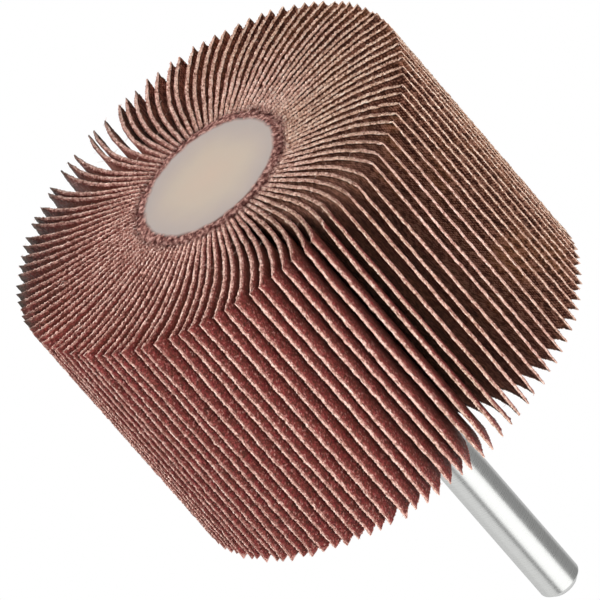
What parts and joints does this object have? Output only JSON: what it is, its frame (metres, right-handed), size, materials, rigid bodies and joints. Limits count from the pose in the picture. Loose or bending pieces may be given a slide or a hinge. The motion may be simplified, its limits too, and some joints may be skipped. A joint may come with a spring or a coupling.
{
  "type": "mounted flap wheel",
  "caption": "Abrasive flap wheel on a round steel spindle: strips of grit-coated cloth stand on edge round a cast resin core, for a drill or die grinder.",
  "frame": {"origin": "centre of the wheel's plain front face, on which it stands", "axes": "+Z along the wheel's axis, from the front face through the core and out along the spindle"},
  "size_m": [0.06, 0.06, 0.08],
  "materials": {
    "abrasive_cloth": "reddish-brown grit on one side, dark brown bare cloth on the other, pale cut edges",
    "cast_resin": "smooth, slightly milky beige-grey casting resin",
    "spindle_steel": "ground and polished"
  },
  "bodies": {
    "root": {"spindle": "spindle_steel", "resin_core": "cast_resin", "flap_pair_01": "abrasive_cloth", "flap_pair_02": "abrasive_cloth", "flap_pair_03": "abrasive_cloth", "flap_pair_04": "abrasive_cloth", "flap_pair_05": "abrasive_cloth", "flap_pair_06": "abrasive_cloth", "flap_pair_07": "abrasive_cloth", "flap_pair_08": "abrasive_cloth", "flap_pair_09": "abrasive_cloth", "flap_pair_10": "abrasive_cloth", "flap_pair_11": "abrasive_cloth", "flap_pair_12": "abrasive_cloth", "flap_pair_13": "abrasive_cloth", "flap_pair_14": "abrasive_cloth", "flap_pair_15": "abrasive_cloth", "flap_pair_16": "abrasive_cloth", "flap_pair_17": "abrasive_cloth", "flap_pair_18": "abrasive_cloth", "flap_pair_19": "abrasive_cloth", "flap_pair_20": "abrasive_cloth", "flap_pair_21": "abrasive_cloth", "flap_pair_22": "abrasive_cloth", "flap_pair_23": "abrasive_cloth", "flap_pair_24": "abrasive_cloth", "flap_pair_25": "abrasive_cloth", "flap_pair_26": "abrasive_cloth", "flap_pair_27": "abrasive_cloth", "flap_pair_28": "abrasive_cloth", "flap_pair_29": "abrasive_cloth", "flap_pair_30": "abrasive_cloth", "flap_pair_31": "abrasive_cloth", "flap_pair_32": "abrasive_cloth", "flap_pair_33": "abrasive_cloth", "flap_pair_34": "abrasive_cloth", "flap_pair_35": "abrasive_cloth", "flap_pair_36": "abrasive_cloth", "flap_pair_37": "abrasive_cloth", "flap_pair_38": "abrasive_cloth", "flap_pair_39": "abrasive_cloth", "flap_pair_40": "abrasive_cloth", "flap_pair_41": "abrasive_cloth", "flap_pair_42": "abrasive_cloth", "flap_pair_43": "abrasive_cloth", "flap_pair_44": "abrasive_cloth", "flap_pair_45": "abrasive_cloth", "flap_pair_46": "abrasive_cloth", "flap_pair_47": "abrasive_cloth", "flap_pair_48": "abrasive_cloth", "flap_pair_49": "abrasive_cloth", "flap_pair_50": "abrasive_cloth", "flap_pair_51": "abrasive_cloth", "flap_pair_52": "abrasive_cloth"}
  },
  "joints": []
}
